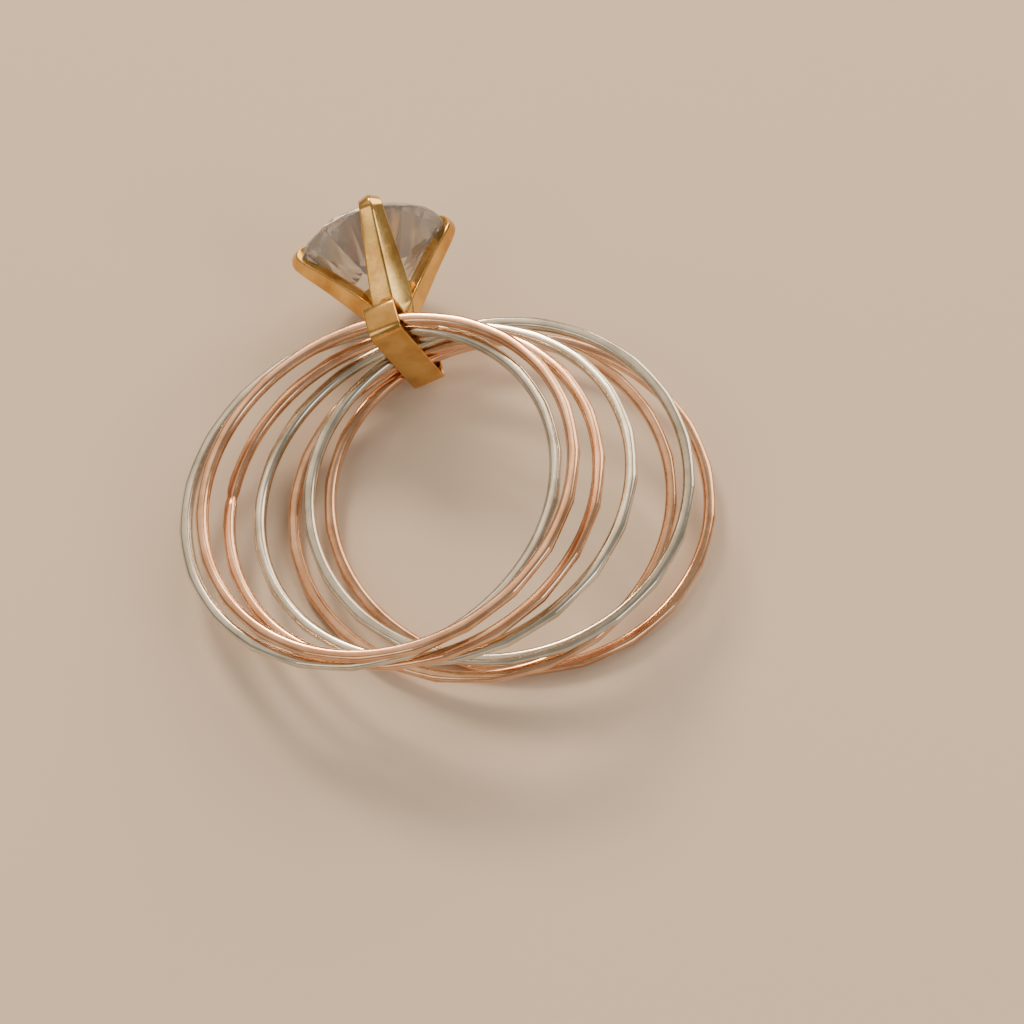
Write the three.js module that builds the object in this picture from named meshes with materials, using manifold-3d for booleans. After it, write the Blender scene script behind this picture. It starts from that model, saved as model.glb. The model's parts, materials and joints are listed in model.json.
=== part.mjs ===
import * as THREE from 'three';
import { mergeVertices } from 'three/addons/utils/BufferGeometryUtils.js';
import Module from 'manifold-3d';

// A solitaire ring of seven loose bands, lying on its side on a table.
// Millimetres, +Z up, table at z = 0, the head pointing along +Y.
// The setting's own frame: X along the collar's bore, Y out through the head, Z along the stack of bands.

// Bands: square wire bent round a finger, with flats cut all round the outside, deeper at the lower edge.
const FINGER_DIAMETER = 17.2;
const BAND_WIDTH = 0.52;
const BAND_THICKNESS = 0.6;
const BAND_CHAMFER = 0.12;
const BAND_FLATS = 22;
const UPPER_CUT_SHARE = 0.25;
const STEPS_PER_FLAT = 3;
const BAND_RADIUS = FINGER_DIAMETER / 2 + BAND_THICKNESS / 2;

// Collar: a flat tube whose slot takes the whole stack and lets it fan out.
const COLLAR_LENGTH = 1.6;
const COLLAR_HEIGHT = 1.8;
const COLLAR_WALL = 0.17;
const COLLAR_TOP = 2.7;
const COLLAR_BOTTOM = -3.3;
const COLLAR_CORNER = 0.45;
const COLLAR_EDGE = 0.07;
const SLOT_CORNER = 0.15;
const CORNER_STEPS = 4;

// Stone: a round brilliant, with its proportions as shares of its diameter.
const STONE_DIAMETER = 7;
const GIRDLE_HEIGHT = 5.45;
const TABLE_SHARE = 0.57;
const CROWN_SHARE = 0.15;
const PAVILION_SHARE = 0.43;
const GIRDLE_SHARE = 0.025;
const STAR_LENGTH = 0.5;
const LOWER_HALF_LENGTH = 0.77;
const STONE_GAP = 0.14;

// Head: a round base on the collar, and four prongs with a ridge down the outside of each.
const BASE_FOOT_RADIUS = 0.85;
const BASE_RIM_RADIUS = 1.5;
const BASE_TOP = 2.6;
const PRONG_COUNT = 4;
const PRONG_TWIST = -19.5;
const PRONG_SHOULDER = 0.1;
const PRONG_BACK_SHARE = 0.3;
const PRONG_STATIONS = [
  { out: 0.45, up: 1.05, width: 1.9, depth: 1 },
  { out: 1.2, up: 2.1, width: 2, depth: 1 },
  { out: 2.4, up: 3.75, width: 1.65, depth: 0.92 },
  { out: 3.4, up: 5, width: 1.28, depth: 0.82 },
  { out: 3.68, up: 5.45, width: 1.2, depth: 0.72 },
  { out: 3.55, up: 5.82, width: 1.1, depth: 0.6 },
  { out: 3.15, up: 6, width: 0.95, depth: 0.42 },
];

// The head is soldered on a little askew, tilted up the stack.
const HEAD_TILT = 2.5;

// How the setting lies: nose up by the pitch, the top of its stack leaning over by the roll.
const SETTING_PITCH = 3;
const SETTING_ROLL = 21.5;

// Where each band lies in the slot: its place along the stack, its swing round the stack's axis, its tilt across
// the slot, its dip along its own radius, and how far it has been turned round through the collar.
const BANDS = [
  { name: 'band_1', metal: 'rose', place: 2.1, fan: -12, tilt: 4, dip: -6.5, turn: 0 },
  { name: 'band_2', metal: 'white', place: 1.4, fan: -19, tilt: 3.5, dip: -6.8, turn: 10 },
  { name: 'band_3', metal: 'rose', place: 0.65, fan: -7.5, tilt: 4.5, dip: -6.3, turn: 13 },
  { name: 'band_4', metal: 'white', place: -0.15, fan: 0.5, tilt: 6.5, dip: -6, turn: 14 },
  { name: 'band_5', metal: 'white', place: -0.95, fan: 15, tilt: 13, dip: 2.5, turn: 16 },
  { name: 'band_6', metal: 'rose', place: -1.65, fan: 7.5, tilt: 12, dip: 1, turn: 6 },
  { name: 'band_7', metal: 'rose', place: -2.5, fan: 19, tilt: 19.5, dip: 6.6, turn: 11 },
];

const METALS = {
  yellow: { color: 0xc8943c, roughness: 0.22 },
  rose: { color: 0xcf9472, roughness: 0.26 },
  white: { color: 0xc2bdae, roughness: 0.24 },
};

const wasm = await Module();
wasm.setup();

function radians(degrees) {
  return THREE.MathUtils.degToRad(degrees);
}

function geometryOf(points, triangles) {
  const geometry = new THREE.BufferGeometry();
  geometry.setAttribute('position', new THREE.Float32BufferAttribute(points, 3));
  geometry.setIndex(triangles);
  return geometry;
}

function solidOf(geometry) {
  const bare = geometry.clone();
  bare.deleteAttribute('normal');
  bare.deleteAttribute('uv');
  const merged = mergeVertices(bare, 1e-4);
  return new wasm.Manifold(new wasm.Mesh({
    numProp: 3,
    vertProperties: merged.attributes.position.array,
    triVerts: Uint32Array.from(merged.index.array),
  }));
}

function geometryFromSolid(solid) {
  const mesh = solid.getMesh();
  return geometryOf(Array.from(mesh.vertProperties), Array.from(mesh.triVerts));
}

function metal(kind) {
  return new THREE.MeshStandardMaterial({ ...METALS[kind], metalness: 1 });
}

function namedMesh(name, geometry, material) {
  geometry.computeVertexNormals();
  const mesh = new THREE.Mesh(geometry, material);
  mesh.name = name;
  return mesh;
}

// A closed skin through a list of equal rings of points: joined end to end, or closed by flat ends.
function loft(rings, closed) {
  const sides = rings[0].length;
  const triangles = [];
  const last = closed ? rings.length : rings.length - 1;
  for (let i = 0; i < last; i += 1) {
    const here = i * sides;
    const next = ((i + 1) % rings.length) * sides;
    for (let j = 0; j < sides; j += 1) {
      const k = (j + 1) % sides;
      triangles.push(here + j, next + k, here + k, here + j, next + j, next + k);
    }
  }
  if (!closed) {
    const end = (rings.length - 1) * sides;
    for (let j = 1; j < sides - 1; j += 1) {
      triangles.push(0, j, j + 1, end, end + j + 1, end + j);
    }
  }
  return geometryOf(rings.flat().flatMap((point) => point.toArray()), triangles);
}

// The band's section at one angle: a square with its edges taken off, its outer side drawn in by the flat.
function bandSection(angle, turn) {
  const pitch = (2 * Math.PI) / BAND_FLATS;
  const outer = FINGER_DIAMETER / 2 + BAND_THICKNESS;
  const inner = FINGER_DIAMETER / 2;
  const fromMiddle = (angle % pitch) - pitch / 2;
  const flat = (outer * Math.cos(pitch / 2)) / Math.cos(fromMiddle);
  const upper = THREE.MathUtils.lerp(outer, flat, UPPER_CUT_SHARE);
  const half = BAND_WIDTH / 2;
  const corners = [
    [inner, half - BAND_CHAMFER],
    [inner, -half + BAND_CHAMFER],
    [inner + BAND_CHAMFER, -half],
    [flat - BAND_CHAMFER, -half],
    [flat, -half + BAND_CHAMFER],
    [upper, half - BAND_CHAMFER],
    [upper - BAND_CHAMFER, half],
    [inner + BAND_CHAMFER, half],
  ];
  const at = angle + turn;
  return corners.map(([radius, along]) => (
    new THREE.Vector3(radius * Math.cos(at), radius * Math.sin(at), along)
  ));
}

function bandGeometry(turn) {
  const steps = BAND_FLATS * STEPS_PER_FLAT;
  const rings = [];
  for (let i = 0; i < steps; i += 1) {
    rings.push(bandSection((2 * Math.PI * i) / steps, radians(turn)));
  }
  return loft(rings, true);
}

// The collar's outline across its bore, set in from its outer side.
function collarOutline(inset, along) {
  const corner = THREE.MathUtils.lerp(COLLAR_CORNER, SLOT_CORNER, inset / COLLAR_WALL);
  const half = COLLAR_HEIGHT / 2 - inset - corner;
  const top = COLLAR_TOP - inset - corner;
  const bottom = COLLAR_BOTTOM + inset + corner;
  const centres = [[half, top], [-half, top], [-half, bottom], [half, bottom]];
  return centres.flatMap(([out, up], quarter) => (
    Array.from({ length: CORNER_STEPS + 1 }, (_, i) => {
      const at = (quarter + i / CORNER_STEPS) * Math.PI / 2;
      return new THREE.Vector3(along, out + corner * Math.cos(at), up + corner * Math.sin(at));
    })
  ));
}

// The collar: that outline taken round the wall's own section, with its rims eased.
function collarGeometry() {
  const end = COLLAR_LENGTH / 2;
  const wall = [
    [0, COLLAR_EDGE - end],
    [COLLAR_EDGE, -end],
    [COLLAR_WALL - COLLAR_EDGE, -end],
    [COLLAR_WALL, COLLAR_EDGE - end],
    [COLLAR_WALL, end - COLLAR_EDGE],
    [COLLAR_WALL - COLLAR_EDGE, end],
    [COLLAR_EDGE, end],
    [0, end - COLLAR_EDGE],
  ];
  return loft(wall.map(([inset, along]) => collarOutline(inset, along)), true);
}

function baseGeometry() {
  const foot = COLLAR_HEIGHT / 2 - COLLAR_WALL / 2;
  const profile = [
    new THREE.Vector2(0, foot),
    new THREE.Vector2(BASE_FOOT_RADIUS, foot),
    new THREE.Vector2(BASE_RIM_RADIUS, BASE_TOP),
    new THREE.Vector2(0, BASE_TOP),
  ];
  return new THREE.LatheGeometry(profile, 16);
}

// One prong: kite-shaped sections along its flare, the ridge outside, bent in over the girdle at the tip.
function prongGeometry(angle) {
  const radial = new THREE.Vector3(Math.cos(angle), 0, Math.sin(angle));
  const across = new THREE.Vector3(-Math.sin(angle), 0, Math.cos(angle));
  const up = new THREE.Vector3(0, 1, 0);
  const rings = PRONG_STATIONS.map((station, i) => {
    const before = PRONG_STATIONS[Math.max(i - 1, 0)];
    const after = PRONG_STATIONS[Math.min(i + 1, PRONG_STATIONS.length - 1)];
    const way = new THREE.Vector2(after.out - before.out, after.up - before.up).normalize();
    const facing = radial.clone().multiplyScalar(way.y).addScaledVector(up, -way.x);
    const centre = radial.clone().multiplyScalar(station.out).addScaledVector(up, station.up);
    const section = [
      [0, station.depth / 2],
      [station.width / 2, station.depth * PRONG_SHOULDER],
      [station.width * PRONG_BACK_SHARE, -station.depth / 2],
      [-station.width * PRONG_BACK_SHARE, -station.depth / 2],
      [-station.width / 2, station.depth * PRONG_SHOULDER],
    ];
    return section.map(([side, outward]) => (
      centre.clone().addScaledVector(across, side).addScaledVector(facing, outward)
    ));
  });
  return loft(rings, false);
}

// A round brilliant with its girdle centred on the origin and its table facing +Y.
function stoneGeometry(extra) {
  const radius = STONE_DIAMETER / 2 + extra;
  const scale = radius / (STONE_DIAMETER / 2);
  const girdle = STONE_DIAMETER * GIRDLE_SHARE * scale / 2;
  const crown = STONE_DIAMETER * CROWN_SHARE * scale;
  const pavilion = STONE_DIAMETER * PAVILION_SHARE * scale;
  const table = radius * TABLE_SHARE;
  const eighth = Math.PI / 4;
  const lean = Math.cos(eighth / 2);
  const starRadius = THREE.MathUtils.lerp(table * lean, radius, STAR_LENGTH);
  const starHeight = girdle + crown * (radius - starRadius * lean) / (radius - table);
  const lowerRadius = radius * (1 - LOWER_HALF_LENGTH);
  const lowerHeight = -girdle - pavilion * (1 - lowerRadius * lean / radius);
  const points = [];
  const triangles = [];
  const addRing = (count, ringRadius, height, turned) => {
    const first = points.length / 3;
    for (let i = 0; i < count; i += 1) {
      const at = ((i + turned) / count) * 2 * Math.PI;
      points.push(ringRadius * Math.cos(at), height, -ringRadius * Math.sin(at));
    }
    return (i) => first + ((i + count) % count);
  };
  const tablePoint = addRing(8, table, girdle + crown, 0);
  const starPoint = addRing(8, starRadius, starHeight, 0.5);
  const upperPoint = addRing(16, radius, girdle, 0);
  const lowerPoint = addRing(16, radius, -girdle, 0);
  const halfPoint = addRing(8, lowerRadius, lowerHeight, 0.5);
  const culet = points.length / 3;
  points.push(0, -girdle - pavilion, 0);
  for (let i = 1; i < 7; i += 1) {
    triangles.push(tablePoint(0), tablePoint(i), tablePoint(i + 1));
  }
  for (let i = 0; i < 8; i += 1) {
    const main = 2 * i;
    triangles.push(tablePoint(i), starPoint(i), tablePoint(i + 1));
    triangles.push(tablePoint(i), upperPoint(main), starPoint(i));
    triangles.push(tablePoint(i), starPoint(i - 1), upperPoint(main));
    triangles.push(starPoint(i), upperPoint(main), upperPoint(main + 1));
    triangles.push(starPoint(i), upperPoint(main + 1), upperPoint(main + 2));
    triangles.push(halfPoint(i), lowerPoint(main + 1), lowerPoint(main));
    triangles.push(halfPoint(i), lowerPoint(main + 2), lowerPoint(main + 1));
    triangles.push(culet, halfPoint(i), lowerPoint(main));
    triangles.push(culet, lowerPoint(main), halfPoint(i - 1));
  }
  for (let i = 0; i < 16; i += 1) {
    triangles.push(upperPoint(i), lowerPoint(i), lowerPoint(i + 1));
    triangles.push(upperPoint(i), lowerPoint(i + 1), upperPoint(i + 1));
  }
  const geometry = geometryOf(points, triangles);
  geometry.translate(0, GIRDLE_HEIGHT, 0);
  return geometry;
}

// Tilts a piece of the head about the collar's outer side.
function tiltHead(geometry) {
  const pivot = COLLAR_HEIGHT / 2;
  return geometry.translate(0, -pivot, 0).rotateX(radians(HEAD_TILT)).translate(0, pivot, 0);
}

// Collar, base and prongs are soldered into one, with a seat cut in the prongs for the stone.
function settingGeometry() {
  let metalwork = solidOf(collarGeometry()).add(solidOf(tiltHead(baseGeometry())));
  for (let i = 0; i < PRONG_COUNT; i += 1) {
    const angle = radians(PRONG_TWIST) + (2 * Math.PI * i) / PRONG_COUNT;
    metalwork = metalwork.add(solidOf(tiltHead(prongGeometry(angle))));
  }
  return geometryFromSolid(metalwork.subtract(solidOf(tiltHead(stoneGeometry(STONE_GAP)))));
}

const setting = new THREE.Group();
setting.rotation.set(radians(SETTING_PITCH), radians(-SETTING_ROLL), 0, 'XYZ');
setting.add(namedMesh('setting', settingGeometry(), metal('yellow')));
setting.add(namedMesh('stone', tiltHead(stoneGeometry(0)), new THREE.MeshStandardMaterial({
  color: 0xd8d4cc,
  roughness: 0.03,
  metalness: 0,
})));

for (const band of BANDS) {
  const pivot = new THREE.Group();
  pivot.position.z = band.place;
  pivot.rotation.set(radians(band.dip), radians(band.tilt), radians(band.fan), 'ZYX');
  const mesh = namedMesh(band.name, bandGeometry(band.turn), metal(band.metal));
  mesh.position.y = -BAND_RADIUS;
  pivot.add(mesh);
  setting.add(pivot);
}

// Set down on the table, centred on its own footprint.
const ring = new THREE.Group();
ring.name = 'ring';
ring.add(setting);
ring.updateMatrixWorld(true);
const extent = new THREE.Box3().setFromObject(ring, true);
const middle = extent.getCenter(new THREE.Vector3());
setting.position.set(-middle.x, -middle.y, -extent.min.z);
ring.updateMatrixWorld(true);

export default ring;
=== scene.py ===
"""Looks of a solitaire ring of loose bands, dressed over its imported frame.

Seven cut bands of rose and white gold run through the collar of a yellow gold setting, whose four
prongs hold a round brilliant. The ring lies on its side on a pale floor. Sizes are in millimetres
until they meet a mesh, and every mesh is in metres in the frame's own axes.
"""

import json
import logging
import math
from collections.abc import Iterable, Sequence
from dataclasses import dataclass, field
from enum import Enum
from typing import ClassVar

import bmesh
import bpy
from mathutils import Matrix, Vector


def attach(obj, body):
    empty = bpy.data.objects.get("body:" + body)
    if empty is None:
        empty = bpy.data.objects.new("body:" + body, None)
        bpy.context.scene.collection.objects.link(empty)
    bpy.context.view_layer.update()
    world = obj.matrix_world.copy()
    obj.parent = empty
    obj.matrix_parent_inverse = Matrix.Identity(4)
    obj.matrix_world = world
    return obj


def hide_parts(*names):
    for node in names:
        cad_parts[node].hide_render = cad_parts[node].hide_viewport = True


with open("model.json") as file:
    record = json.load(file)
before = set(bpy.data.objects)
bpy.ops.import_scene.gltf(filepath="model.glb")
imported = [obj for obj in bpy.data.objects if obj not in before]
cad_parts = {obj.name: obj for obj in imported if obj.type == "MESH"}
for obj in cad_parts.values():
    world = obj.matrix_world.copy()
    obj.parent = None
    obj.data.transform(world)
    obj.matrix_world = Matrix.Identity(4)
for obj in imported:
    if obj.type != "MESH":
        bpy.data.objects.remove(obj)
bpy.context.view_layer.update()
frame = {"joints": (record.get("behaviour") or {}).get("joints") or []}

LOG = logging.getLogger("ring")
MM = 0.001
# Points of a mesh that are nearer than this are one, in metres.
MERGE_DISTANCE = 1e-7
# The most of a side that the rounding of one corner takes.
ROUNDING_LIMIT = 0.45


class Gold(Enum):
    """The colours of gold in the ring, by the record's material slots."""

    YELLOW = "yellow_gold"
    ROSE = "rose_gold"
    WHITE = "white_gold"


class Body(Enum):
    """How the pieces that don't turn are called in the frame."""

    SETTING = "setting"
    STONE = "stone"


def linear(colour: str) -> tuple[float, float, float, float]:
    """Turns an sRGB hex colour into linear RGBA.

    Args:
        colour: Six hex digits after a #.

    Returns:
        Red, green, blue and an alpha of 1.
    """
    channels = [int(colour[i:i + 2], 16) / 255 for i in (1, 3, 5)]
    red, green, blue = (c / 12.92 if c <= 0.04045 else ((c + 0.055) / 1.055) ** 2.4 for c in channels)
    return red, green, blue, 1.0


def add_node(
    tree: bpy.types.NodeTree,
    kind: str,
    sockets: dict[str | int, object] | None = None,
    **settings: object,
) -> bpy.types.Node:
    """Adds one node with its settings, and fills or links its inputs.

    Args:
        tree: The tree that gets the node.
        kind: The node's type name.
        sockets: Input name or number, to a plain value or to the output that feeds it.
        **settings: Properties of the node itself.

    Returns:
        The new node.
    """
    node = tree.nodes.new(kind)
    for name, value in settings.items():
        setattr(node, name, value)
    for key, value in (sockets or {}).items():
        if isinstance(value, bpy.types.NodeSocket):
            tree.links.new(value, node.inputs[key])
        else:
            node.inputs[key].default_value = value
    return node


def piece_from_mesh(name: str, mesh: bpy.types.Mesh) -> bpy.types.Object:
    """Puts a mesh in the scene as an object at the origin.

    Args:
        name: The object's name.
        mesh: Its mesh, with its place in the vertices.

    Returns:
        The new object.
    """
    mesh.name = name
    piece = bpy.data.objects.new(name, mesh)
    bpy.context.scene.collection.objects.link(piece)
    return piece


def mesh_from_bmesh(name: str, shape: bmesh.types.BMesh) -> bpy.types.Mesh:
    """Closes a bmesh into a mesh whose faces point outwards.

    Args:
        name: The mesh's name.
        shape: The bmesh, which is freed.

    Returns:
        The mesh.
    """
    bmesh.ops.remove_doubles(shape, verts=shape.verts, dist=MERGE_DISTANCE)
    bmesh.ops.recalc_face_normals(shape, faces=shape.faces)
    mesh = bpy.data.meshes.new(name)
    shape.to_mesh(mesh)
    shape.free()
    return mesh


def loft(rings: Sequence[Sequence[Vector]], closed: bool) -> bmesh.types.BMesh:
    """Skins a run of equal rings of points.

    Args:
        rings: The rings, in order, in metres.
        closed: True to join the last ring to the first, False to close both ends with a face.

    Returns:
        The skin.
    """
    shape = bmesh.new()
    rows = [[shape.verts.new(point) for point in ring] for ring in rings]
    pairs = list(zip(rows, rows[1:]))
    if closed:
        pairs.append((rows[-1], rows[0]))
    for here, after in pairs:
        for i, corner in enumerate(here):
            j = (i + 1) % len(here)
            shape.faces.new((corner, here[j], after[j], after[i]))
    if not closed:
        shape.faces.new(rows[0])
        shape.faces.new(rows[-1])
    return shape


def rounded_outline(corners: Sequence[Vector], reach: float, steps: int) -> list[Vector]:
    """Rounds the corners of a flat convex outline.

    Args:
        corners: The outline's corners, in order.
        reach: How far along each side a corner's rounding runs.
        steps: Points per corner, less one.

    Returns:
        The rounded outline.
    """
    outline = []
    for i, corner in enumerate(corners):
        before = corners[i - 1] - corner
        after = corners[(i + 1) % len(corners)] - corner
        start = corner + before.normalized() * min(reach, before.length * ROUNDING_LIMIT)
        end = corner + after.normalized() * min(reach, after.length * ROUNDING_LIMIT)
        for k in range(steps + 1):
            t = k / steps
            outline.append(start * (1 - t) ** 2 + corner * (2 * t * (1 - t)) + end * t * t)
    return outline


def smooth_row(rows: Sequence[Sequence[float]], at: float) -> list[float]:
    """Reads a table between its rows on a smooth curve through them.

    Args:
        rows: The table's rows.
        at: Where to read, with 0 on the first row and 1 on the second.

    Returns:
        The values there.
    """
    i = min(int(at), len(rows) - 2)
    t = at - i
    before, here, after, beyond = (rows[min(max(k, 0), len(rows) - 1)] for k in range(i - 1, i + 3))
    return [
        0.5 * (2 * b + (c - a) * t + (2 * a - 5 * b + 4 * c - d) * t ** 2 + (3 * b - a - 3 * c + d) * t ** 3)
        for a, b, c, d in zip(before, here, after, beyond)
    ]


class ShapeTree:
    """A Geometry Nodes tree with named inputs, and the way to turn it into a plain mesh."""

    def __init__(self, name: str, inputs: dict[str, str]) -> None:
        """Makes an empty tree with those inputs.

        Args:
            name: The tree's name.
            inputs: Each input's name, to its socket type.
        """
        self.tree = bpy.data.node_groups.new(name, "GeometryNodeTree")
        self.keys: dict[str, str] = {}
        for label, kind in inputs.items():
            socket = self.tree.interface.new_socket(label, in_out="INPUT", socket_type=kind)
            self.keys[label] = socket.identifier
        self.tree.interface.new_socket("Geometry", in_out="OUTPUT", socket_type="NodeSocketGeometry")
        self.given = add_node(self.tree, "NodeGroupInput").outputs

    def close(self, geometry: bpy.types.NodeSocket) -> None:
        """Ends the tree in real faces with their material.

        Args:
            geometry: What the tree has made.
        """
        real = add_node(self.tree, "GeometryNodeRealizeInstances", {"Geometry": geometry})
        dressed = add_node(
            self.tree,
            "GeometryNodeSetMaterial",
            {"Geometry": real.outputs[0], "Material": self.given["Material"]},
        )
        add_node(self.tree, "NodeGroupOutput", {0: dressed.outputs[0]})

    def make(self, name: str, values: dict[str, object]) -> bpy.types.Mesh:
        """Runs the tree and keeps its result.

        Args:
            name: The mesh's name.
            values: Each input's name, to its value.

        Returns:
            A plain mesh.
        """
        host = piece_from_mesh(name + "_host", bpy.data.meshes.new(name + "_host"))
        modifier = host.modifiers.new("shape", "NODES")
        modifier.node_group = self.tree
        for label, value in values.items():
            modifier[self.keys[label]] = value
        graph = bpy.context.evaluated_depsgraph_get()
        mesh = bpy.data.meshes.new_from_object(
            host.evaluated_get(graph), preserve_all_data_layers=True, depsgraph=graph
        )
        host.modifiers.remove(modifier)
        blank = host.data
        bpy.data.objects.remove(host)
        bpy.data.meshes.remove(blank)
        mesh.name = name
        return mesh


@dataclass(frozen=True)
class GoldFinish:
    """A gold alloy: its colour in full polish and where it has dulled, and how fine its polish is."""

    name: str
    bright: str
    dull: str
    polish: float
    haze: float
    drawn: bool

    DULL_PATCH_MM: ClassVar[float] = 1.6
    # Real streaks and nicks are a few hundredths of a millimetre wide. These are drawn coarser, to show.
    STREAK_WIDTH_MM: ClassVar[float] = 0.07
    STREAK_LENGTH_MM: ClassVar[float] = 2.5
    NICK_MM: ClassVar[float] = 0.16
    STREAK_DEPTH_MM: ClassVar[float] = 0.004
    STREAK_RELIEF: ClassVar[float] = 0.35
    # Where the patches count as dull and as bright, and the streaks as polished and as hazy.
    TONE_RANGE: ClassVar[tuple[float, float]] = (0.32, 0.62)
    GLOSS_RANGE: ClassVar[tuple[float, float]] = (0.3, 0.7)

    def material(self) -> bpy.types.Material:
        """Builds the alloy's material.

        Returns:
            A metal whose tone and gloss drift over the surface. Drawn wire has streaks along it, and
            a cast piece has fine scratches from the polishing cloth.
        """
        material = bpy.data.materials.new(self.name)
        material.use_nodes = True
        tree = material.node_tree
        shader = tree.nodes["Principled BSDF"]
        place = add_node(tree, "ShaderNodeTexCoord").outputs["Object"]
        patches = add_node(
            tree,
            "ShaderNodeTexNoise",
            {"Vector": place, "Scale": 1 / (self.DULL_PATCH_MM * MM), "Detail": 3.0, "Roughness": 0.55},
        )
        tone = add_node(tree, "ShaderNodeValToRGB", {"Fac": patches.outputs["Fac"]})
        for stop, at, colour in zip(tone.color_ramp.elements, self.TONE_RANGE, (self.dull, self.bright)):
            stop.position = at
            stop.color = linear(colour)
        streaks = self.wire_streaks(tree) if self.drawn else self.cloth_scratches(tree, place)
        gloss = add_node(
            tree,
            "ShaderNodeMapRange",
            {
                "Value": streaks,
                "From Min": self.GLOSS_RANGE[0],
                "From Max": self.GLOSS_RANGE[1],
                "To Min": self.polish,
                "To Max": self.haze,
            },
        )
        relief = add_node(
            tree,
            "ShaderNodeBump",
            {"Strength": self.STREAK_RELIEF, "Distance": self.STREAK_DEPTH_MM * MM, "Height": streaks},
        )
        shader.inputs["Metallic"].default_value = 1.0
        tree.links.new(tone.outputs["Color"], shader.inputs["Base Color"])
        tree.links.new(gloss.outputs["Result"], shader.inputs["Roughness"])
        tree.links.new(relief.outputs["Normal"], shader.inputs["Normal"])
        return material

    def wire_streaks(self, tree: bpy.types.NodeTree) -> bpy.types.NodeSocket:
        """Draws the streaks that a drawplate leaves along a wire, with no seam round the band.

        Args:
            tree: The material's tree.

        Returns:
            A height from 0 to 1.
        """
        place = add_node(tree, "ShaderNodeAttribute", attribute_name="wire_place").outputs["Vector"]
        axes = add_node(tree, "ShaderNodeSeparateXYZ", {0: place}).outputs
        plan = add_node(tree, "ShaderNodeCombineXYZ", {0: axes[0], 1: axes[1]})
        radius = add_node(tree, "ShaderNodeVectorMath", {0: plan.outputs[0]}, operation="LENGTH")
        across = 1 / (self.STREAK_WIDTH_MM * MM)
        along = 1 / (self.STREAK_LENGTH_MM * MM)
        parts = [
            add_node(tree, "ShaderNodeMath", {0: value, 1: scale}, operation="MULTIPLY").outputs[0]
            for value, scale in (
                (radius.outputs["Value"], across), (axes[2], across), (axes[0], along), (axes[1], along)
            )
        ]
        point = add_node(tree, "ShaderNodeCombineXYZ", dict(enumerate(parts[:3])))
        noise = add_node(
            tree,
            "ShaderNodeTexNoise",
            {"Vector": point.outputs[0], "W": parts[3], "Scale": 1.0, "Detail": 2.0},
            noise_dimensions="4D",
        )
        return noise.outputs["Fac"]

    def cloth_scratches(self, tree: bpy.types.NodeTree, place: bpy.types.NodeSocket) -> bpy.types.NodeSocket:
        """Draws the fine unordered marks of a polished casting.

        Args:
            tree: The material's tree.
            place: The surface's place.

        Returns:
            A height from 0 to 1.
        """
        noise = add_node(
            tree,
            "ShaderNodeTexNoise",
            {"Vector": place, "Scale": 1 / (self.NICK_MM * MM), "Detail": 4.0, "Distortion": 0.6},
        )
        return noise.outputs["Fac"]


@dataclass(frozen=True)
class StoneFinish:
    """Cubic zirconia: clear and very refractive, clouded by a film of use, with a frosted girdle."""

    # Cut cubic zirconia, worn: a clear stone with crisp facets, greyed by a thin film of soap and skin.
    name: str = "cubic_zirconia_cut"
    clear: str = "#faf8f5"
    filmed: str = "#efebe6"
    ior: float = 2.15
    polish: float = 0.04
    film: float = 0.17
    frost: float = 0.3
    clarity: float = 0.86
    film_patch_mm: float = 2.4

    GIRDLE: ClassVar[str] = "girdle"
    # Where the patches count as clear and as filmed, for the colour and for the gloss.
    TONE_RANGE: ClassVar[tuple[float, float]] = (0.35, 0.7)
    GLOSS_RANGE: ClassVar[tuple[float, float]] = (0.4, 0.7)

    def material(self) -> bpy.types.Material:
        """Builds the stone's material.

        Returns:
            A clear shader that blurs what is behind it where the film lies, and more so on the girdle.
        """
        material = bpy.data.materials.new(self.name)
        material.use_nodes = True
        tree = material.node_tree
        shader = tree.nodes["Principled BSDF"]
        place = add_node(tree, "ShaderNodeTexCoord").outputs["Object"]
        patches = add_node(
            tree,
            "ShaderNodeTexNoise",
            {"Vector": place, "Scale": 1 / (self.film_patch_mm * MM), "Detail": 3.0},
        )
        tone = add_node(tree, "ShaderNodeValToRGB", {"Fac": patches.outputs["Fac"]})
        for stop, at, colour in zip(tone.color_ramp.elements, self.TONE_RANGE, (self.clear, self.filmed)):
            stop.position = at
            stop.color = linear(colour)
        gloss = add_node(
            tree,
            "ShaderNodeMapRange",
            {
                "Value": patches.outputs["Fac"],
                "From Min": self.GLOSS_RANGE[0],
                "From Max": self.GLOSS_RANGE[1],
                "To Min": self.polish,
                "To Max": self.film,
            },
        )
        rim = add_node(tree, "ShaderNodeAttribute", attribute_name=self.GIRDLE).outputs["Fac"]
        frosted = add_node(
            tree,
            "ShaderNodeMath",
            {0: rim, 1: self.frost, 2: gloss.outputs["Result"]},
            operation="MULTIPLY_ADD",
        )
        shader.inputs["IOR"].default_value = self.ior
        shader.inputs["Transmission Weight"].default_value = self.clarity
        tree.links.new(tone.outputs["Color"], shader.inputs["Base Color"])
        tree.links.new(frosted.outputs[0], shader.inputs["Roughness"])
        return material


FINISHES = {
    # Cast yellow gold, worn: deep orange in its own reflections, with a cloudy shine.
    Gold.YELLOW: GoldFinish("yellow_gold_cast", "#e6bb70", "#c0914e", 0.13, 0.24, False),
    # Drawn rose gold wire: a copper pink with long soft streaks, brighter along its rounded edges.
    Gold.ROSE: GoldFinish("rose_gold_drawn", "#efc4a2", "#d1a07c", 0.16, 0.24, True),
    # Drawn white gold wire, its plating worn: a soft silver grey that takes the colour of its neighbours.
    Gold.WHITE: GoldFinish("white_gold_drawn", "#dfdacc", "#bdb8a8", 0.15, 0.24, True),
}


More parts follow.
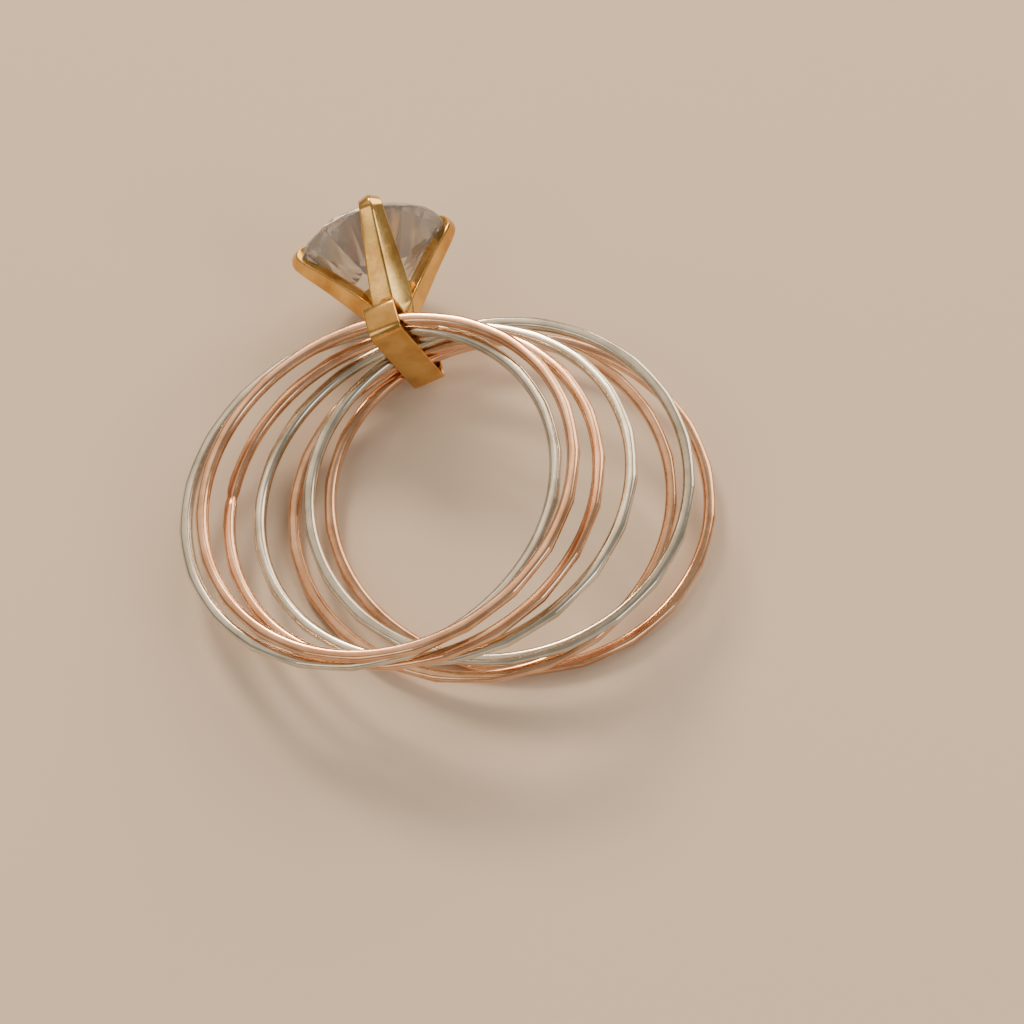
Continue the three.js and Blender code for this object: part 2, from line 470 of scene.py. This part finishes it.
@dataclass(frozen=True)
class Lie:
    """How the setting lies: pitched nose up, its stack rolled, and its head soldered on askew."""

    pitch: float = 3
    roll: float = 21.5
    head_tilt: float = 2.5
    head_foot: float = 0.9

    def turn(self) -> Matrix:
        """Returns the setting's turn in the frame."""
        nose = Matrix.Rotation(math.radians(self.pitch), 3, "X")
        return nose @ Matrix.Rotation(math.radians(-self.roll), 3, "Y")

    def head(self) -> Matrix:
        """Returns the head's tilt in the setting, about its foot on the collar."""
        foot = Vector((0, self.head_foot, 0)) * MM
        tilt = Matrix.Rotation(math.radians(self.head_tilt), 4, "X")
        return Matrix.Translation(foot) @ tilt @ Matrix.Translation(-foot)


LIE = Lie()


@dataclass(frozen=True)
class BandSizes:
    """The sizes that all bands share: square wire, with flats cut deepest at the lower outer edge."""

    finger_diameter: float = 17.2
    width: float = 0.52
    thickness: float = 0.6
    rounding: float = 0.2
    rounding_points: int = 5
    flats: int = 22
    upper_cut: float = 0.25
    steps_per_flat: int = 12
    seam_depth: float = 0.22
    seam_width: float = 0.2

    def radius(self) -> float:
        """Returns the radius of the wire's middle, in metres."""
        return (self.finger_diameter + self.thickness) / 2 * MM


class BandTree(ShapeTree):
    """Sweeps a rounded square round a circle, cuts flats on its outside and nips it at its seam."""

    # Each sum's name, its operation and its terms: inputs, axes, earlier sums or plain numbers.
    SUMS: ClassVar[tuple[tuple[str | float, ...], ...]] = (
        ("stations", "MULTIPLY", "Flats", "Steps per Flat"),
        ("middle", "MULTIPLY_ADD", "Thickness", 0.5, "Finger Radius"),
        ("outer", "ADD", "Finger Radius", "Thickness"),
        ("y squared", "MULTIPLY", "y", "y"),
        ("squares", "MULTIPLY_ADD", "x", "x", "y squared"),
        ("radius", "SQRT", "squares"),
        ("angle", "ARCTAN2", "y", "x"),
        ("pitch", "DIVIDE", math.tau, "Flats"),
        ("half pitch", "MULTIPLY", "pitch", 0.5),
        ("past corner", "FLOORED_MODULO", "angle", "pitch"),
        ("off middle", "SUBTRACT", "past corner", "half pitch"),
        ("corner cosine", "COSINE", "half pitch"),
        ("cosine here", "COSINE", "off middle"),
        ("nearest", "MULTIPLY", "outer", "corner cosine"),
        ("flat", "DIVIDE", "nearest", "cosine here"),
        ("full cut", "SUBTRACT", "outer", "flat"),
        ("level", "DIVIDE", "z", "Width"),
        ("height share", "ADD", "level", 0.5),
        ("easing", "SUBTRACT", "Upper Cut", 1.0),
        ("cut share", "MULTIPLY_ADD", "height share", "easing", 1.0),
        ("outside", "GREATER_THAN", "radius", "middle"),
        ("cut", "MULTIPLY", "full cut", "cut share"),
        ("cut here", "MULTIPLY", "cut", "outside"),
        ("cut radius", "SUBTRACT", "radius", "cut here"),
        ("past seam", "SUBTRACT", "angle", "Seam At"),
        ("arc to seam", "MULTIPLY", "past seam", "middle"),
        ("seam widths", "DIVIDE", "arc to seam", "Seam Width"),
        ("seam square", "MULTIPLY", "seam widths", "seam widths"),
        ("seam fall", "MULTIPLY", "seam square", -1.0),
        ("seam groove", "EXPONENT", "seam fall"),
        ("pinch", "MULTIPLY", "seam groove", "Seam Depth"),
        ("waist", "SUBTRACT", 1.0, "pinch"),
        ("off wire", "SUBTRACT", "cut radius", "middle"),
        ("new radius", "MULTIPLY_ADD", "off wire", "waist", "middle"),
        ("share", "DIVIDE", "new radius", "radius"),
        ("off", "ABSOLUTE", "off middle"),
        ("corner start", "MULTIPLY", "pitch", 0.49),
        ("at corner", "GREATER_THAN", "off", "corner start"),
        ("corner line", "MULTIPLY", "at corner", "outside"),
    )

    def __init__(self) -> None:
        """Builds the tree."""
        number, whole = "NodeSocketFloat", "NodeSocketInt"
        super().__init__(
            "cut_band",
            {
                "Finger Radius": number,
                "Width": number,
                "Thickness": number,
                "Rounding": number,
                "Rounding Points": whole,
                "Flats": whole,
                "Upper Cut": number,
                "Steps per Flat": whole,
                "Seam At": number,
                "Seam Depth": number,
                "Seam Width": number,
                "Turn": number,
                "Material": "NodeSocketMaterial",
            },
        )
        tree, given = self.tree, self.given
        place = add_node(tree, "GeometryNodeInputPosition").outputs[0]
        axes = add_node(tree, "ShaderNodeSeparateXYZ", {0: place}).outputs
        known = {socket.name: socket for socket in given if socket.name} | dict(zip("xyz", axes))
        for name, operation, *terms in self.SUMS:
            sockets = {i: known[term] if isinstance(term, str) else term for i, term in enumerate(terms)}
            known[name] = add_node(tree, "ShaderNodeMath", sockets, operation=operation).outputs[0]
        path = add_node(
            tree,
            "GeometryNodeCurvePrimitiveCircle",
            {"Resolution": known["stations"], "Radius": known["middle"]},
        )
        square = add_node(
            tree,
            "GeometryNodeCurvePrimitiveQuadrilateral",
            {"Width": given["Thickness"], "Height": given["Width"]},
        )
        section = add_node(
            tree,
            "GeometryNodeFilletCurve",
            {"Curve": square.outputs[0], "Count": given["Rounding Points"], "Radius": given["Rounding"]},
            mode="POLY",
        )
        wire = add_node(
            tree,
            "GeometryNodeCurveToMesh",
            {"Curve": path.outputs[0], "Profile Curve": section.outputs[0]},
        )
        scale = add_node(
            tree, "ShaderNodeCombineXYZ", {0: known["share"], 1: known["share"], 2: known["waist"]}
        )
        moved = add_node(
            tree, "ShaderNodeVectorMath", {0: place, 1: scale.outputs[0]}, operation="MULTIPLY"
        )
        kept = add_node(
            tree,
            "GeometryNodeStoreNamedAttribute",
            {"Geometry": wire.outputs[0], "Name": "wire_place", "Value": place},
            data_type="FLOAT_VECTOR",
            domain="POINT",
        )
        cut = add_node(
            tree,
            "GeometryNodeSetPosition",
            {"Geometry": kept.outputs[0], "Position": moved.outputs[0]},
        )
        crisp = add_node(
            tree,
            "GeometryNodeStoreNamedAttribute",
            {"Geometry": cut.outputs[0], "Name": "sharp_edge", "Value": known["corner line"]},
            data_type="BOOLEAN",
            domain="EDGE",
        )
        turn = add_node(tree, "ShaderNodeCombineXYZ", {2: given["Turn"]})
        turned = add_node(
            tree,
            "GeometryNodeTransform",
            {"Geometry": crisp.outputs[0], "Rotation": turn.outputs[0]},
        )
        self.close(turned.outputs[0])


@dataclass
class Band:
    """One loose band: its gold, its lie in the collar's slot, and where its seam shows, if it does.

    The place is up the stack from the slot's middle. All angles are in degrees.
    """

    name: str
    gold: Gold
    place: float
    fan: float
    tilt: float
    dip: float
    turn: float
    seam: float | None = None
    sizes: BandSizes = field(default_factory=BandSizes)

    def lean(self) -> Matrix:
        """Returns the band's turn in the setting."""
        swing = Matrix.Rotation(math.radians(self.fan), 3, "Z")
        tip = Matrix.Rotation(math.radians(self.tilt), 3, "Y")
        return swing @ tip @ Matrix.Rotation(math.radians(self.dip), 3, "X")

    def centre(self) -> Vector:
        """Returns the middle of the band, where its joint turns."""
        return next(Vector(j["pos_m"]) for j in frame["joints"] if j["child"] == self.name)

    def slot_origin(self) -> Vector:
        """Returns the middle of the collar's slot, worked back from this band's middle."""
        reach = Vector((0, 0, self.place * MM)) - self.lean() @ Vector((0, self.sizes.radius(), 0))
        return self.centre() - LIE.turn() @ reach

    def build(self, tree: BandTree, material: bpy.types.Material) -> bpy.types.Object:
        """Builds the band where its solid lies.

        Args:
            tree: The tree that makes bands.
            material: The band's gold.

        Returns:
            The band.
        """
        sizes = self.sizes
        mesh = tree.make(
            self.name + "_cut",
            {
                "Finger Radius": sizes.finger_diameter / 2 * MM,
                "Width": sizes.width * MM,
                "Thickness": sizes.thickness * MM,
                "Rounding": sizes.rounding * MM,
                "Rounding Points": sizes.rounding_points,
                "Flats": sizes.flats,
                "Upper Cut": sizes.upper_cut,
                "Steps per Flat": sizes.steps_per_flat,
                "Seam At": math.radians(self.seam or 0),
                "Seam Depth": 0.0 if self.seam is None else sizes.seam_depth,
                "Seam Width": sizes.seam_width * MM,
                "Turn": math.radians(self.turn),
                "Material": material,
            },
        )
        mesh.transform(Matrix.Translation(self.centre()) @ (LIE.turn() @ self.lean()).to_4x4())
        return piece_from_mesh(self.name + "_cut", mesh)

    def dress(self, piece: bpy.types.Object) -> None:
        """Hides the band's imported solid and ties the band to its body."""
        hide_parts(self.name)
        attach(piece, self.name)


# From the top of the stack down.
BANDS = [
    Band("band_1", Gold.ROSE, place=2.1, fan=-12, tilt=4, dip=-6.5, turn=0),
    Band("band_2", Gold.WHITE, place=1.4, fan=-19, tilt=3.5, dip=-6.8, turn=10),
    Band("band_3", Gold.ROSE, place=0.65, fan=-7.5, tilt=4.5, dip=-6.3, turn=13, seam=153.75),
    Band("band_4", Gold.WHITE, place=-0.15, fan=0.5, tilt=6.5, dip=-6, turn=14),
    Band("band_5", Gold.WHITE, place=-0.95, fan=15, tilt=13, dip=2.5, turn=16),
    Band("band_6", Gold.ROSE, place=-1.65, fan=7.5, tilt=12, dip=1, turn=6),
    Band("band_7", Gold.ROSE, place=-2.5, fan=19, tilt=19.5, dip=6.6, turn=11),
]


@dataclass(frozen=True)
class Stone:
    """A round brilliant, with its proportions as shares of its diameter."""

    diameter: float = 7
    girdle_height: float = 5.45
    table_share: float = 0.57
    crown_share: float = 0.15
    pavilion_share: float = 0.43
    girdle_share: float = 0.025
    star_length: float = 0.5
    lower_half_length: float = 0.77
    girdle_sides: int = 96
    blank_share: float = 1.4

    # A cut passes through points that are nearer to it than this, in metres.
    CUT_REACH: ClassVar[float] = 1e-8
    # Faces whose normals lean along the stone's axis by less than this are its girdle.
    GIRDLE_SLOPE: ClassVar[float] = 0.1

    def facets(self, grow: float) -> list[tuple[Vector, Vector]]:
        """Works out the plane of every facet, in the stone's own axes with the table up.

        Args:
            grow: How much wider than the stone itself, as a share.

        Returns:
            A point on each facet and the facet's outward normal, in metres.
        """
        radius = self.diameter / 2 * grow * MM
        girdle = self.diameter * self.girdle_share / 2 * grow * MM
        crown = self.diameter * self.crown_share * grow * MM
        pavilion = self.diameter * self.pavilion_share * grow * MM
        table = radius * self.table_share
        lean = math.cos(math.pi / 8)
        star = table * lean + (radius - table * lean) * self.star_length
        star_height = girdle + crown * (radius - star * lean) / (radius - table)
        lower = radius * (1 - self.lower_half_length)
        lower_height = -girdle - pavilion * (1 - lower * lean / radius)

        def point(out: float, eighths: float, height: float) -> Vector:
            """Returns a point at that radius, angle in eighths of a turn, and height."""
            at = eighths * math.pi / 4
            return Vector((out * math.cos(at), out * math.sin(at), height))

        def plane(first: Vector, second: Vector, third: Vector) -> tuple[Vector, Vector]:
            """Returns the plane through three points, facing away from the stone's middle."""
            normal = (second - first).cross(third - first).normalized()
            return first, normal if normal.dot(first) > 0 else -normal

        planes = [(Vector((0, 0, girdle + crown)), Vector((0, 0, 1)))]
        for k in range(8):
            tip = point(star, k + 0.5, star_height)
            deep = point(lower, k + 0.5, lower_height)
            here, after = (point(table, corner, girdle + crown) for corner in (k, k + 1))
            planes.append(plane(here, tip, point(radius, k, girdle)))
            planes.append(plane(here, after, tip))
            planes.append(plane(Vector((0, 0, -girdle - pavilion)), deep, point(radius, k, -girdle)))
            for side in (k, k + 1):
                planes.append(plane(tip, point(radius, side, girdle), point(radius, k + 0.5, girdle)))
                planes.append(plane(deep, point(radius, side, -girdle), point(radius, k + 0.5, -girdle)))
        return planes

    def cut(self, name: str, grow: float) -> bpy.types.Mesh:
        """Cuts the stone from a round blank, one facet at a time.

        Args:
            name: The mesh's name.
            grow: How much wider than the stone itself, as a share.

        Returns:
            The stone in the setting's axes, in its place in the head.
        """
        shape = bmesh.new()
        radius = self.diameter / 2 * grow * MM
        bmesh.ops.create_cone(
            shape,
            cap_ends=True,
            segments=self.girdle_sides,
            radius1=radius,
            radius2=radius,
            depth=self.diameter * self.blank_share * MM,
        )
        for point, normal in self.facets(grow):
            cut = bmesh.ops.bisect_plane(
                shape,
                geom=shape.verts[:] + shape.edges[:] + shape.faces[:],
                dist=self.CUT_REACH,
                plane_co=point,
                plane_no=normal,
                clear_outer=True,
            )
            rim = [part for part in cut["geom_cut"] if isinstance(part, bmesh.types.BMEdge)]
            bmesh.ops.contextual_create(shape, geom=rim)
        mesh = mesh_from_bmesh(name, shape)
        upright = Matrix.Rotation(-math.pi / 2, 4, "X")
        mesh.transform(LIE.head() @ Matrix.Translation((0, self.girdle_height * MM, 0)) @ upright)
        return mesh

    def build(self, origin: Vector, material: bpy.types.Material) -> bpy.types.Object:
        """Builds the stone in its seat.

        Args:
            origin: The middle of the collar's slot.
            material: The stone's finish.

        Returns:
            The stone.
        """
        mesh = self.cut("stone_brilliant", 1.0)
        axis = LIE.head().to_3x3() @ Vector((0, 1, 0))
        girdle = mesh.attributes.new(StoneFinish.GIRDLE, "FLOAT", "FACE")
        slopes = [abs(face.normal.dot(axis)) for face in mesh.polygons]
        girdle.data.foreach_set("value", [float(slope < self.GIRDLE_SLOPE) for slope in slopes])
        mesh.transform(Matrix.Translation(origin) @ LIE.turn().to_4x4())
        mesh.materials.append(material)
        return piece_from_mesh("stone_brilliant", mesh)

    def dress(self, piece: bpy.types.Object) -> None:
        """Hides the stone's imported solid and ties the stone to the setting's body."""
        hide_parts(Body.STONE.value)
        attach(piece, Body.SETTING.value)


class CrownTree(ShapeTree):
    """Solders prongs round a base on a collar, and cuts the stone's seat."""

    # Points that the cuts leave nearer to each other than this are made one.
    SLIVER_MM: ClassVar[float] = 0.001

    def __init__(self) -> None:
        """Builds the tree."""
        thing = "NodeSocketObject"
        super().__init__(
            "pronged_setting",
            {
                "Collar": thing,
                "Base": thing,
                "Prong": thing,
                "Seat": thing,
                "Prongs": "NodeSocketInt",
                "Twist": "NodeSocketFloat",
                "Head Turn": "NodeSocketVector",
                "Head Shift": "NodeSocketVector",
                "Material": "NodeSocketMaterial",
            },
        )
        tree, given = self.tree, self.given
        shapes = {
            label: add_node(tree, "GeometryNodeObjectInfo", {"Object": given[label]}).outputs["Geometry"]
            for label in ("Collar", "Base", "Prong", "Seat")
        }
        points = add_node(tree, "GeometryNodePoints", {"Count": given["Prongs"]})
        step = add_node(tree, "ShaderNodeMath", {0: math.tau, 1: given["Prongs"]}, operation="DIVIDE")
        index = add_node(tree, "GeometryNodeInputIndex").outputs[0]
        angle = add_node(
            tree,
            "ShaderNodeMath",
            {0: index, 1: step.outputs[0], 2: given["Twist"]},
            operation="MULTIPLY_ADD",
        )
        turn = add_node(tree, "ShaderNodeCombineXYZ", {1: angle.outputs[0]})
        crown = add_node(
            tree,
            "GeometryNodeInstanceOnPoints",
            {"Points": points.outputs[0], "Instance": shapes["Prong"], "Rotation": turn.outputs[0]},
        )
        prongs = add_node(tree, "GeometryNodeRealizeInstances", {"Geometry": crown.outputs[0]})
        head = add_node(tree, "GeometryNodeJoinGeometry")
        for shape in (shapes["Base"], prongs.outputs[0]):
            tree.links.new(shape, head.inputs[0])
        askew = add_node(
            tree,
            "GeometryNodeTransform",
            {
                "Geometry": head.outputs[0],
                "Translation": given["Head Shift"],
                "Rotation": given["Head Turn"],
            },
        )
        solder = add_node(
            tree,
            "GeometryNodeMeshBoolean",
            {"Self Intersection": True},
            operation="UNION",
            solver="EXACT",
        )
        for shape in (shapes["Collar"], askew.outputs[0]):
            tree.links.new(shape, solder.inputs["Mesh 2"])
        seat = add_node(
            tree,
            "GeometryNodeMeshBoolean",
            {"Mesh 1": solder.outputs["Mesh"], "Mesh 2": shapes["Seat"]},
            operation="DIFFERENCE",
            solver="EXACT",
        )
        whole = add_node(
            tree,
            "GeometryNodeMergeByDistance",
            {"Geometry": seat.outputs["Mesh"], "Distance": self.SLIVER_MM * MM},
        )
        self.close(whole.outputs[0])


@dataclass(frozen=True)
class ProngStation:
    """One section of a prong: how far out and up it stands, and its width and depth."""

    out: float
    up: float
    width: float
    depth: float


@dataclass
class Setting:
    """Collar, base and four prongs of yellow gold, soldered into one."""

    collar_length: float = 1.6
    collar_height: float = 1.8
    collar_wall: float = 0.17
    collar_top: float = 2.7
    collar_bottom: float = -3.3
    collar_corner: float = 0.45
    slot_corner: float = 0.15
    corner_steps: int = 6
    rim: float = 0.08
    rim_steps: int = 8
    base_foot: float = 0.85
    base_rim: float = 1.5
    base_top: float = 2.6
    base_sides: int = 48
    # Shares of the foot's radius with heights above it, then of the rim's with depths below the top.
    foot_profile: Sequence[tuple[float, float]] = ((0.9, 0), (1, 0.12), (0.95, 0.3), (1, 0.5))
    rim_profile: Sequence[tuple[float, float]] = ((0.8, 0.7), (1, 0.08), (0.94, 0))
    prongs: int = 4
    prong_twist: float = -19.5
    prong_shoulder: float = 0.1
    prong_back: float = 0.3
    ridge: float = 0.1
    ridge_steps: int = 4
    station_steps: int = 6
    seat_gap: float = 0.03
    crease_angle: float = 28
    # Shares of a prong's last section, and how far past it they lie.
    tip_sections: Sequence[tuple[float, float]] = ((0.9, 0.06), (0.7, 0.11), (0.4, 0.14))
    stations: Sequence[ProngStation] = (
        ProngStation(out=0.45, up=1.05, width=1.9, depth=1),
        ProngStation(out=1.2, up=2.1, width=2, depth=1),
        ProngStation(out=2.4, up=3.75, width=1.65, depth=0.92),
        ProngStation(out=3.4, up=5, width=1.28, depth=0.82),
        ProngStation(out=3.68, up=5.45, width=1.2, depth=0.72),
        ProngStation(out=3.55, up=5.82, width=1.1, depth=0.6),
        ProngStation(out=3.15, up=6, width=0.95, depth=0.42),
    )

    def outline(self, inset: float, corner: float, along: float) -> list[Vector]:
        """Draws the collar's outline across its bore.

        Args:
            inset: How far inside the collar's outer side, in millimetres.
            corner: The rounding of its corners.
            along: Where along the bore.

        Returns:
            The outline, in metres.
        """
        half = self.collar_height / 2 - inset
        top, bottom = self.collar_top - inset, self.collar_bottom + inset
        corners = [
            Vector((along, half, top)) * MM,
            Vector((along, -half, top)) * MM,
            Vector((along, -half, bottom)) * MM,
            Vector((along, half, bottom)) * MM,
        ]
        return rounded_outline(corners, corner * MM, self.corner_steps)

    def collar(self) -> bpy.types.Mesh:
        """Bends the collar: a flat tube with its rims rounded over."""
        end = self.collar_length / 2 - self.rim
        rings = []
        for way in (1, -1):
            for k in range(self.rim_steps + 1):
                arc = k / self.rim_steps * math.pi
                share = (1 - math.cos(arc)) / 2 if way > 0 else (1 + math.cos(arc)) / 2
                corner = self.collar_corner + (self.slot_corner - self.collar_corner) * share
                along = way * (end + self.rim * math.sin(arc))
                rings.append(self.outline(self.collar_wall * share, corner, along))
        return mesh_from_bmesh("collar", loft(rings, True))

    def base(self) -> bpy.types.Mesh:
        """Turns the base that carries the prongs."""
        foot = self.collar_height / 2 - self.collar_wall / 2
        profile = [(self.base_foot * share, foot + up) for share, up in self.foot_profile]
        profile += [(self.base_rim * share, self.base_top - down) for share, down in self.rim_profile]
        angles = [k * math.tau / self.base_sides for k in range(self.base_sides)]
        rings = [
            [Vector((out * math.cos(angle), up, out * math.sin(angle))) * MM for angle in angles]
            for out, up in profile
        ]
        return mesh_from_bmesh("base", loft(rings, False))

    def prong(self) -> bpy.types.Mesh:
        """Draws one prong along +X: a ridged bar that flares out and bends in over the girdle."""
        rows = [(s.out, s.up, s.width, s.depth) for s in self.stations]
        count = (len(rows) - 1) * self.station_steps
        table = [smooth_row(rows, k / self.station_steps) for k in range(count + 1)]
        rings = []
        for k, (out, up, width, depth) in enumerate(table):
            before, after = table[max(k - 1, 0)], table[min(k + 1, count)]
            way = Vector((after[0] - before[0], after[1] - before[1])).normalized()
            facing = Vector((way.y, -way.x, 0))
            middle = Vector((out, up, 0))
            section = (
                (0, depth / 2),
                (width / 2, depth * self.prong_shoulder),
                (width * self.prong_back, -depth / 2),
                (-width * self.prong_back, -depth / 2),
                (-width / 2, depth * self.prong_shoulder),
            )
            corners = [(middle + facing * outward + Vector((0, 0, side))) * MM for side, outward in section]
            rings.append(rounded_outline(corners, self.ridge * MM, self.ridge_steps))
        rings.extend(self.tip(rings[-1], rings[-2]))
        return mesh_from_bmesh("prong", loft(rings, False))

    def tip(self, last: Sequence[Vector], before: Sequence[Vector]) -> Iterable[list[Vector]]:
        """Rounds a prong's end over.

        Args:
            last: The prong's last section.
            before: The section before it.

        Yields:
            Sections that shrink to the end.
        """
        middle = sum(last, Vector()) / len(last)
        way = (middle - sum(before, Vector()) / len(before)).normalized()
        for share, step in self.tip_sections:
            yield [middle + (point - middle) * share + way * step * MM for point in last]

    def build(
        self, tree: CrownTree, stone: Stone, origin: Vector, material: bpy.types.Material
    ) -> bpy.types.Object:
        """Solders the setting together where its solid lies.

        Args:
            tree: The tree that solders.
            stone: The stone that it holds.
            origin: The middle of the collar's slot.
            material: Its gold.

        Returns:
            The setting.
        """
        grow = 1 + self.seat_gap / (stone.diameter / 2)
        parts = {
            "Collar": piece_from_mesh("collar", self.collar()),
            "Base": piece_from_mesh("base", self.base()),
            "Prong": piece_from_mesh("prong", self.prong()),
            "Seat": piece_from_mesh("seat", stone.cut("seat", grow)),
        }
        sizes = {
            "Prongs": self.prongs,
            "Twist": math.radians(-self.prong_twist),
            "Head Turn": tuple(LIE.head().to_euler()),
            "Head Shift": tuple(LIE.head().to_translation()),
            "Material": material,
        }
        mesh = tree.make("setting_soldered", parts | sizes)
        for part in parts.values():
            shape = part.data
            bpy.data.objects.remove(part)
            bpy.data.meshes.remove(shape)
        mesh.transform(Matrix.Translation(origin) @ LIE.turn().to_4x4())
        mesh.polygons.foreach_set("use_smooth", [True] * len(mesh.polygons))
        mesh.set_sharp_from_angle(angle=math.radians(self.crease_angle))
        return piece_from_mesh("setting_soldered", mesh)

    def dress(self, piece: bpy.types.Object) -> None:
        """Hides the setting's imported solid and ties the setting to its body."""
        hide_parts(Body.SETTING.value)
        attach(piece, Body.SETTING.value)


@dataclass(frozen=True)
class SoftLight:
    """A soft studio lamp: where it stands and its size, in metres, its power and its colour."""

    name: str
    place: tuple[float, float, float]
    size: float
    watts: float
    colour: str

    def build(self, target: Vector) -> None:
        """Hangs the lamp and turns it to the ring."""
        lamp = bpy.data.lights.new(self.name, "AREA")
        lamp.shape = "DISK"
        lamp.size = self.size
        lamp.energy = self.watts
        lamp.color = linear(self.colour)[:3]
        stand = bpy.data.objects.new(self.name, lamp)
        stand.location = self.place
        stand.rotation_euler = (target - stand.location).to_track_quat("-Z", "Y").to_euler()
        bpy.context.scene.collection.objects.link(stand)


@dataclass(frozen=True)
class Studio:
    """A pale floor, soft lamps, and a camera that looks down on the ring at the photograph's angle."""

    azimuth: float = -14.2
    elevation: float = 57.5
    distance: float = 180
    target: tuple[float, float, float] = (3.02, -2.8, 0.11)
    pixels_per_mm: float = 21.28
    image_pixels: int = 1024
    near_clip: float = 5
    floor_size: float = 1.2
    floor_colour: str = "#dfcdb8"
    floor_roughness: float = 0.85
    sky: str = "#fff6ea"
    sky_strength: float = 0.34
    lights: Sequence[SoftLight] = (
        SoftLight("key", (-0.1, 0.52, 0.41), 0.18, 3.0, "#ffe6c9"),
        SoftLight("window", (0.36, 0.34, 0.32), 0.55, 3.1, "#ffe7cc"),
        SoftLight("overhead", (-0.2, 0.33, 0.48), 0.5, 0.36, "#ffdcb6"),
        SoftLight("fill", (-0.42, -0.2, 0.4), 0.4, 0.6, "#ffeed8"),
        SoftLight("front", (0.34, -0.36, 0.34), 0.3, 0.6, "#ffffff"),
    )

    def build(self) -> None:
        """Sets up floor, light and camera."""
        self.floor()
        self.light()
        self.camera()

    def floor(self) -> None:
        """Lays a plain matt board under the ring."""
        # Uncoated pale board: an even warm tone with no shine.
        material = bpy.data.materials.new("matt_board")
        material.use_nodes = True
        shader = material.node_tree.nodes["Principled BSDF"]
        shader.inputs["Base Color"].default_value = linear(self.floor_colour)
        shader.inputs["Roughness"].default_value = self.floor_roughness
        half = self.floor_size / 2
        mesh = bpy.data.meshes.new("floor")
        corners = [(x * half, y * half, 0) for x, y in ((-1, -1), (1, -1), (1, 1), (-1, 1))]
        mesh.from_pydata(corners, [], [(0, 1, 2, 3)])
        mesh.materials.append(material)
        piece_from_mesh("floor", mesh)

    def light(self) -> None:
        """Hangs the lamps under an even sky."""
        world = bpy.data.worlds.new("studio")
        world.use_nodes = True
        sky = world.node_tree.nodes["Background"]
        sky.inputs["Color"].default_value = linear(self.sky)
        sky.inputs["Strength"].default_value = self.sky_strength
        bpy.context.scene.world = world
        for lamp in self.lights:
            lamp.build(Vector((0, 0, 0)))

    def camera(self) -> None:
        """Stands the camera off the ring along its line of sight."""
        around, above = math.radians(self.azimuth), math.radians(self.elevation)
        back = Vector((
            math.sin(around) * math.cos(above),
            -math.cos(around) * math.cos(above),
            math.sin(above),
        ))
        lens = bpy.data.cameras.new("camera")
        lens.angle = 2 * math.atan(self.image_pixels / 2 / (self.pixels_per_mm * self.distance))
        lens.clip_start = self.near_clip * MM
        stand = bpy.data.objects.new("camera", lens)
        stand.location = (Vector(self.target) + back * self.distance) * MM
        stand.rotation_euler = (-back).to_track_quat("-Z", "Y").to_euler()
        bpy.context.scene.collection.objects.link(stand)
        bpy.context.scene.camera = stand


def main() -> None:
    """Builds the studio and every piece of the ring, in order."""
    logging.basicConfig(level=logging.INFO, format="%(name)s: %(message)s")
    Studio().build()
    golds = {gold: finish.material() for gold, finish in FINISHES.items()}
    pieces = []
    band_tree = BandTree()
    for band in BANDS:
        pieces.append(band.build(band_tree, golds[band.gold]))
        band.dress(pieces[-1])
    origin = BANDS[0].slot_origin()
    stone = Stone()
    pieces.append(stone.build(origin, StoneFinish().material()))
    stone.dress(pieces[-1])
    setting = Setting()
    pieces.append(setting.build(CrownTree(), stone, origin, golds[Gold.YELLOW]))
    setting.dress(pieces[-1])
    for piece in pieces:
        LOG.info("%s: %d faces", piece.name, len(piece.data.polygons))


if __name__ == "__main__":
    main()
